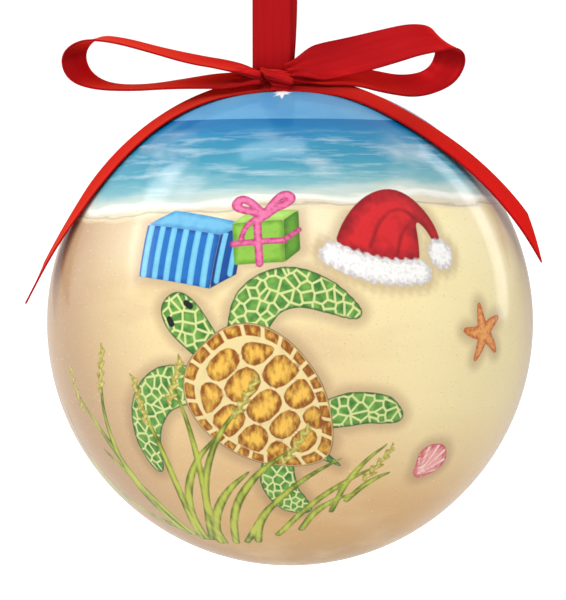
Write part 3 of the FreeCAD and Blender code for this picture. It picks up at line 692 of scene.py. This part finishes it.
streaks = cloud(tree, streak_place.outputs[0], Scale=1.0, Detail=3)
dyed = two_tone(tree, pigment(174, 24, 28), pigment(182, 27, 31), between(tree, streaks, 0.35, 0.65))
selvedge = between(tree, reckon(tree, "ABSOLUTE", across), 0.88, 0.93, 0, 0.35)
dyed = two_tone(tree, dyed, pigment(146, 14, 22), selvedge)
# Painted sheen: the satin's colour turns from deep red to a bright orange red where it is seen along its
# threads, at a glancing angle.
glance = dial(put(tree, "ShaderNodeLayerWeight"), Blend=0.5)
painted_sheen = between(tree, glance.outputs["Facing"], 0.4, 0.95, 0, 0.5, True)
wire(tree, two_tone(tree, dyed, pigment(246, 74, 50), painted_sheen), shader.inputs["Base Color"])
wire(tree, between(tree, streaks, 0.3, 0.7, 0.36, 0.42), shader.inputs["Roughness"])
raise_surface(tree, shader, threads.outputs[1], 0.02, 0.00001)
lie = put(tree, "ShaderNodeTangent", direction_type="UV_MAP", uv_map="ribbon")
wire(tree, lie.outputs[0], shader.inputs["Tangent"])


def laid_line(points):
    """The smooth line that a ribbon takes along its route, as points in metres."""
    steps_between = 12
    curve = bpy.data.curves.new("route", "CURVE")
    curve.dimensions = "3D"
    curve.resolution_u = steps_between
    spline = curve.splines.new("NURBS")
    spline.points.add(len(points) - 1)
    for spot, place in zip(spline.points, points):
        spot.co = (*[c * mm for c in place], 1)
    spline.order_u = 3
    spline.use_endpoint_u = True
    spline.resolution_u = steps_between
    holder = bpy.data.objects.new("route", curve)
    mesh = bpy.data.meshes.new_from_object(holder)
    line = np.array([v.co for v in mesh.vertices], float)
    bpy.data.objects.remove(holder)
    bpy.data.curves.remove(curve)
    bpy.data.meshes.remove(mesh)
    return line


def lay_threads(cloth, across_values, along_values):
    """Lays the satin's threads on a piece of ribbon, as values at its points and as a flat map."""
    lay_values(cloth, "across", across_values)
    lay_values(cloth, "along", along_values)
    corner = np.zeros(len(cloth.loops), int)
    cloth.loops.foreach_get("vertex_index", corner)
    mapped = np.stack([along_values[corner] * map_along, across_values[corner] * map_across + 0.5], -1)
    cloth.uv_layers.new(name="ribbon").data.foreach_set("uv", mapped.ravel().astype(np.float32))


def weave_ribbon(name, points, edges, gathered=0.0, cut=0.0, pleats=0.5, hollow=0.0):
    """A satin ribbon along a route. edges say which way its width lies at each point, gathered over how many
    mm its ends are drawn together, pleats how high its folds stand there, cut how much shorter its back edge
    is at its free end, and hollow how deep the pocket is where it leaves the knot."""
    line = laid_line(points)
    lean = laid_line([np.array(p) + ribbon_width / 2 * np.array(e) / np.linalg.norm(e)
                      for p, e in zip(points, edges)])
    gone = np.concatenate([[0], np.cumsum(np.linalg.norm(np.diff(line, axis=0), axis=1))]) / mm
    length = gone[-1]
    # Strips across the width, closer at the edges, which roll over a small bead.
    strips = np.array([0.05, 0.2, 0.35, 0.5, 0.65, 0.8, 0.93, 0.985, 1])
    strips = np.concatenate([-strips[::-1], strips])
    bead = np.interp(np.abs(strips), [0, 0.8, 0.93, 0.985, 1], [1, 1, 1.25, 0.95, 0.3])
    rows = []
    for share in strips:
        shorter = cut * (1 + share) / 2
        at = gone - shorter * np.clip((gone - length + slant_reach) / slant_reach, 0, 1) ** 1.5
        here = np.stack([np.interp(at, gone, line[:, k]) for k in range(3)], -1)
        away = np.stack([np.interp(at, gone, lean[:, k]) for k in range(3)], -1) - here
        run = np.gradient(here, axis=0)
        run /= np.linalg.norm(run, axis=1)[:, None]
        away -= (away * run).sum(1)[:, None] * run
        away /= np.linalg.norm(away, axis=1)[:, None]
        face = np.cross(run, away)
        drawn_in = np.zeros(len(at))
        if gathered:
            drawn_in = 1 - np.clip(np.minimum(at, length - at) / gathered, 0, 1)
            drawn_in = drawn_in * drawn_in * (3 - 2 * drawn_in)
        half = ribbon_width / 2 - (ribbon_width / 2 - gathered_half_width) * drawn_in
        lift = pleats * drawn_in * math.cos(share * math.pi * 2.5) + crown_of_face * (1 - share * share)
        lift = lift - hollow * (1 - share * share) * np.exp(-((at - pocket_at) / pocket_reach) ** 2)
        rows.append((here, away, face, half, lift, at))
    places, across_values, along_values = [], [], []
    for way, order in ((1, range(len(strips))), (-1, range(len(strips) - 1, -1, -1))):
        for k in order:
            here, away, face, half, lift, at = rows[k]
            rise = (lift + way * ribbon_half_thickness * bead[k]) * np.ones(len(at))
            places.append(here + mm * (away * (half * strips[k])[:, None] + face * rise[:, None]))
            across_values.append(np.full(len(at), strips[k]))
            along_values.append(at)
    round_it, count = len(places), len(line)
    points_laid = np.stack(places, 1).reshape(-1, 3)
    faces = []
    for start in range(0, (count - 1) * round_it, round_it):
        for k in range(round_it):
            beside = (k + 1) % round_it
            faces.append((start + k, start + round_it + k, start + round_it + beside, start + beside))
    half_round = round_it // 2
    for start, way in ((0, 1), ((count - 1) * round_it, -1)):
        for k in range(half_round - 1):
            face = (start + k, start + k + 1, start + round_it - 2 - k, start + round_it - 1 - k)
            faces.append(face[::way])
    cloth = bpy.data.meshes.new(name)
    cloth.from_pydata(points_laid.tolist(), [], faces)
    lay_threads(cloth, np.stack(across_values, 1).ravel(), np.stack(along_values, 1).ravel())
    cut_faces = 2 * (half_round - 1)
    cloth.polygons.foreach_set("use_smooth", [True] * (len(faces) - cut_faces) + [False] * cut_faces)
    piece = finished(name, cloth, satin)
    covered = gone <= length - cut / 2
    return piece, line[covered], gone[covered][-1] * mm


strap_route = [
    (-0.2, -1.15, -45.7), (-0.2, -1.2, -41.8), (-0.2, -1.05, -34.5), (-0.15, -1.4, -20), (-0.05, -2.3, -8.5),
    (0, -3.0, -4.0), (0, -2.6, -1.3), (0, -1.1, 0.125), (0, 1.1, 0.125), (0, 2.6, -1.3), (0, 3.0, -4.0),
    (0.1, 2.3, -8.5), (0.55, 1.4, -20), (0.8, 1.05, -34.5), (0.5, 0.85, -41.8), (0.2, 0.78, -45.1),
    (0, 0.75, -46.8), (0, -0.75, -46.8), (0, -0.75, -45.5), (0, -0.79, -44.2)]
strap, strap_line, strap_length = weave_ribbon("hanging_strap", strap_route, [(1, 0, 0)] * len(strap_route))
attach(strap, "hanger")
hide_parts("hanging_loop")


# ==== The bow's tails ===================================================================
# The two free ends of the bow's ribbon, lying over the ball and falling clear at its sides.
# Each end is cut on a long slant and left bare.

def over_ball(side, front, lift):
    """A point that stands over the ball's top by a lift."""
    up = math.sqrt((ball_radius + lift) ** 2 - side * side - front * front)
    return np.array([side, front, up])


def lying_flat(route, twists):
    """Which way the width lies, for a ribbon that lies on the ball with these twists."""
    run, edges = np.gradient(np.array(route), axis=0), []
    for place, way, twist in zip(route, run, np.radians(twists)):
        way = way / np.linalg.norm(way)
        out = place - (place @ way) * way
        out /= np.linalg.norm(out)
        wide = np.cross(out, way)
        wide = wide if wide[1] > 0 else -wide
        edges.append(wide * math.cos(twist) + out * math.sin(twist))
    return edges


left_tail_route = [
    over_ball(-1.9, -3.9, 0.6), over_ball(-9, -3.1, 0.5), over_ball(-15, -3.2, 0.5),
    over_ball(-20.5, -4.4, 0.5), over_ball(-25.5, -6, 0.5), over_ball(-29.8, -7, 0.5),
    over_ball(-33.2, -7.2, 0.6), np.array((-36.0, -7.4, 13.9)), np.array((-38.5, -7.7, 9.4)),
    np.array((-40.8, -8.0, 4.9))]
right_tail_route = [
    over_ball(-2.8, -3.9, 1.0), over_ball(6, -3.9, 0.5), over_ball(11.5, -5.2, 0.5),
    over_ball(17, -7.0, 0.55), over_ball(22.2, -7.8, 0.7), np.array((27.2, -7.6, 27.0)),
    np.array((31.5, -7.2, 22.9)), np.array((35.0, -6.8, 18.8)), np.array((37.6, -6.4, 15.0)),
    np.array((39.4, -6.0, 11.8))]
left_tail_twists = [9, 5, 2, 0, 0, 0, -4, -8, -10, -10]
right_tail_twists = [15, 7, 3, 1, 2, 4, 6, 8, 8, 8]
for side, route, twists, start, end in (
        ("left", left_tail_route, left_tail_twists, (-0.4, -4, -46.8), (-5.4, -4, -47.8)),
        ("right", right_tail_route, right_tail_twists, (1.3, -4, -46.8), (6.6, -4, -47.1))):
    tail, line, length = weave_ribbon(
        side + "_tail_ribbon", [p + ball_middle for p in route], lying_flat(route, twists), cut=6.5)
    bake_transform(tail)
    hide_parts("tail_" + side)


# ==== The bow's loops ===================================================================
# Two loops of the same ribbon, drawn together where they go into the knot.
# They stand out sideways over the ball, the right one rolled to show its inside.

def in_plane(root, outward, upward, route):
    """A loop's route, drawn flat from its root and stood in the plane that these two ways give."""
    return [np.array(root) + np.array(outward) * a + np.array(upward) * b for a, b in route]


sweep, roll = math.radians(25), math.radians(15)
outward = np.array((math.cos(sweep), math.sin(sweep), 0))
level_way = np.array((-math.sin(sweep), math.cos(sweep), 0))
rolled_up = np.array((0, 0, 1)) * math.cos(roll) - level_way * math.sin(roll)
left_loop_route = in_plane((-3.49, -4.075, -46.12), (-math.cos(sweep), math.sin(sweep), 0), (0, 0, 1), [
    (-2.2, 0.5), (3.8, 1.75), (9.4, 2.2), (16.4, 3.4), (22.9, 4.6), (28.0, 4.7), (31.0, 2.0),
    (30.0, -1.4), (26.0, -3.0), (19.4, -2.8), (12.4, -1.7), (5.6, -0.75), (-2.2, -0.3)])
left_loop_edges = [
    (0.3, 0.9, 0.05), (0.3, 0.9, 0.05), (0.4, 0.88, 0.05), (0.42, 0.9, -0.05), (0.45, 0.88, -0.05),
    (0.5, 0.85, 0), (0.6, 0.8, 0), (0.6, 0.8, 0.05), (0.5, 0.85, 0), (0.42, 0.9, 0.02), (0.42, 0.88, 0.12),
    (0.42, 0.84, 0.3), (0.42, 0.84, 0.3)]
right_loop_route = in_plane((4.112, -4.075, -45.619), outward, rolled_up, [
    (-2.2, 0.6), (3.4, 1.9), (8.4, 2.5), (14.4, 3.7), (19.6, 4.8), (24.2, 4.5), (26.2, 1.6),
    (24.6, -2.2), (19.6, -3.4), (13.8, -2.1), (8.4, -0.6), (3.2, -0.5), (-2.2, -0.3)])
right_loop_edges = [
    (-0.2, 0.6, 0.6), (-0.3, 0.4, 0.86), (-0.33, 0.34, 0.9), (-0.33, 0.46, 0.82), (-0.38, 0.58, 0.7),
    (-0.6, 0.62, 0.45), (-0.78, 0.6, 0.1), (-0.7, 0.66, 0.2), (-0.5, 0.72, 0.46), (-0.4, 0.76, 0.5),
    (-0.3, 0.84, 0.4), (-0.2, 0.9, 0.3), (-0.1, 0.9, 0.25)]
for side, route, edges, hollow, start, end in (
        ("left", left_loop_route, left_loop_edges, -0.3, (-0.4, -5, -46.3), (-5.9, -3, -46.0)),
        ("right", right_loop_route, right_loop_edges, 1.3, (1.3, -5, -45.8), (6.8, -3, -45.3))):
    loop, line, length = weave_ribbon(side + "_bow_ribbon", route, edges, gathered=6.0, hollow=hollow)
    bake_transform(loop)
    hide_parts("bow_loop_" + side)


# ==== The knot ==========================================================================
# The ribbon's own middle, wrapped once round the loops and pulled tight.
# It is creased along a slant, and its edges roll in on both sides.

knot_middle = np.array([0.312, -4.2, -46.3])
knot_half_deep, knot_half_tall = 2.2, 1.35
knot_tilt = math.radians(-6)
knot_squareness = 2.6
ridge_start, ridge_fall = 36, 30
mean_round = 2.0
# From one side to the middle: how far out a ring stands, and how full it is there.
left_rings = [(-0.55, 0.3), (-0.75, 0.55), (-0.9, 0.8), (-0.98, 0.93), (-1, 0.99), (-0.97, 1.03),
              (-0.9, 1.05), (-0.78, 1.03), (-0.62, 1.01), (-0.45, 1), (-0.28, 1), (-0.1, 1)]
outline_steps = left_rings + [(-share, fullness) for share, fullness in left_rings[::-1]]
knot_rings, knot_round = len(outline_steps), 72
knot_points, knot_across, knot_along = [], [], []
for share, fullness in outline_steps:
    for k in range(knot_round):
        a = 2 * math.pi * k / knot_round
        forward, upward = math.cos(a), math.sin(a)
        fall = (1 - upward) / 2
        left_edge = -2.4 + 2.9 * fall ** 1.3
        right_edge = 2.2 + 0.8 * math.sin(math.pi * fall) - 0.3 * fall
        x = (left_edge + right_edge) / 2 + (right_edge - left_edge) / 2 * share
        # One raised fold runs down the front on a slant, with a crease on each side of it.
        bearing = math.degrees(math.atan2(upward, forward))
        share_across = (x + 1.9) / 4.1
        off_ridge = bearing - (ridge_start - share_across * ridge_fall)
        ridge = 0.6 * math.exp(-(off_ridge / 17) ** 4)
        lower_crease = 0.85 * math.exp(-((off_ridge + 32) / 10) ** 2)
        upper_crease = 0.35 * math.exp(-((off_ridge - 36) / 14) ** 2)
        pucker = 0.05 * math.sin(a * 4 + x * 2.4)
        square = (abs(forward) ** knot_squareness + abs(upward) ** knot_squareness) ** (-1 / knot_squareness)
        swell = (ridge - lower_crease - upper_crease + pucker) * (1 if abs(share) < 0.95 else 0.6) * fullness
        y = -(knot_half_deep * square * fullness + swell) * forward
        z = (knot_half_tall * square * fullness + swell) * upward
        knot_points.append((x * math.cos(knot_tilt) - z * math.sin(knot_tilt), y,
                            x * math.sin(knot_tilt) + z * math.cos(knot_tilt)))
        knot_across.append(share)
        knot_along.append(a * mean_round)
knot_faces = []
for start in range(0, (knot_rings - 1) * knot_round, knot_round):
    for k in range(knot_round):
        beside = (k + 1) % knot_round
        knot_faces.append((start + k, start + beside, start + knot_round + beside, start + knot_round + k))
knot_faces.append(tuple(range(knot_round))[::-1])
knot_faces.append(tuple(range((knot_rings - 1) * knot_round, knot_rings * knot_round)))
knot_cloth = bpy.data.meshes.new("knot_wrap")
knot_cloth.from_pydata(((np.array(knot_points) + knot_middle) * mm).tolist(), [], knot_faces)
lay_threads(knot_cloth, np.array(knot_across), np.array(knot_along))
knot_cloth.polygons.foreach_set("use_smooth", [True] * len(knot_faces))
knot = finished("knot_wrap", knot_cloth, satin)
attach(knot, "ball")
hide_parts("bow_knot")


# ==== The table, the light and the view =================================================
# A plain white floor under the hanging ball, with soft lamps to the left, to the right, above and in front.
# The right one only makes a highlight, and the top and front ones only give light.
# The view is from a little above the ball's middle.

floor_drop, floor_half = 25.0, 4
floor_height = (ball_middle[2] - ball_radius - floor_drop) * mm
floor_mesh = bpy.data.meshes.new("floor")
floor_mesh.from_pydata([(x * floor_half, y * floor_half, floor_height)
                        for x, y in ((-1, -1), (1, -1), (1, 1), (-1, 1))], [], [(0, 1, 2, 3)])
white, tree, shader = bare_material("white floor", Roughness=0.9, Base_Color=(0.86, 0.86, 0.86, 1),
                                    Specular_IOR_Level=0.0)
floor_glow, share_in_gloss = 0.62, 0.5
glow = put(tree, "ShaderNodeEmission")
rays = put(tree, "ShaderNodeLightPath").outputs
ways = reckon(tree, "MAXIMUM", rays["Is Camera Ray"], rays["Is Transmission Ray"])
ways = reckon(tree, "MAXIMUM", ways, reckon(tree, "MULTIPLY", rays["Is Glossy Ray"], share_in_gloss))
wire(tree, reckon(tree, "MULTIPLY", ways, floor_glow), glow.inputs["Strength"])
both = put(tree, "ShaderNodeAddShader")
wire(tree, shader.outputs[0], both.inputs[0])
wire(tree, glow.outputs[0], both.inputs[1])
wire(tree, both.outputs[0], tree.nodes["Material Output"].inputs["Surface"])
finished("floor", floor_mesh, white)

# The world is white where it is seen or mirrored, and dimmer where it lights the ball.
world_light = 0.36
world = bpy.data.worlds.new("studio")
bpy.context.scene.world = world
world.use_nodes = True
tree = world.node_tree
backdrop = dial(tree.nodes["Background"], Color=(1, 1, 1, 1))
rays = put(tree, "ShaderNodeLightPath").outputs
ways = reckon(tree, "MAXIMUM", rays["Is Camera Ray"], rays["Is Glossy Ray"])
ways = reckon(tree, "MAXIMUM", ways, rays["Is Transmission Ray"])
wire(tree, between(tree, ways, 0, 1, world_light, 1.0), backdrop.inputs["Strength"])


def soft_lamp(name, way, long_way, distance, width, length, power, mirrored=True, lights=True):
    """A soft flat lamp that faces the ball from one side, with its length along a way of its own. It may be
    left out of reflections, or seen in them only."""
    lamp = bpy.data.lights.new(name, "AREA")
    lamp.shape = "RECTANGLE"
    lamp.size, lamp.size_y, lamp.energy = width, length, power
    holder = bpy.data.objects.new(name, lamp)
    back = Vector(way).normalized()
    long_side = Vector(long_way)
    long_side = (long_side - back * long_side.dot(back)).normalized()
    turned = Matrix((long_side.cross(back), long_side, back)).transposed().to_4x4()
    turned.translation = Vector(ball_middle * mm) + back * distance
    holder.matrix_world = turned
    holder.visible_camera = False
    holder.visible_glossy = mirrored
    holder.visible_diffuse = lights
    bpy.context.scene.collection.objects.link(holder)


soft_lamp("left lamp", way=(-0.82, 0.09, 0.56), long_way=(0.5, 0.63, 0.5),
          distance=0.8, width=0.16, length=0.7, power=2.2)
soft_lamp("left wide lamp", way=(-0.9, 0.37, 0.24), long_way=(0, 0, 1),
          distance=0.8, width=0.4, length=0.6, power=0.6)
soft_lamp("right lamp", way=(0.8, 0.56, 0.2), long_way=(-0.22, 0.15, 0.46),
          distance=0.8, width=0.14, length=0.85, power=1.6, lights=False)
soft_lamp("top lamp", way=(0.0, -0.5, 1.0), long_way=(1, 0, 0),
          distance=0.8, width=0.5, length=0.6, power=3.2, mirrored=False)
soft_lamp("crown lamp", way=(-0.1, 0.16, 1.0), long_way=(1, 0, 0),
          distance=0.8, width=0.14, length=0.3, power=1.0)
soft_lamp("front lamp", way=(0.0, -1.0, 0.1), long_way=(1, 0, 0),
          distance=1.1, width=0.6, length=1.0, power=3.5, mirrored=False)

view_distance = 0.7
camera = bpy.data.objects.new("camera", bpy.data.cameras.new("camera"))
camera.data.lens, camera.data.sensor_width = 268.4, 36.0
camera.data.shift_x, camera.data.shift_y = -0.01167, 0.03733
camera.location = ball_middle * mm + picture_out * view_distance
camera.rotation_euler = (math.pi / 2 - picture_lean, 0, 0)
camera.data.clip_start, camera.data.clip_end = 0.01, 50
bpy.context.scene.collection.objects.link(camera)
bpy.context.scene.camera = camera
bpy.context.scene.view_settings.view_transform = "Standard"
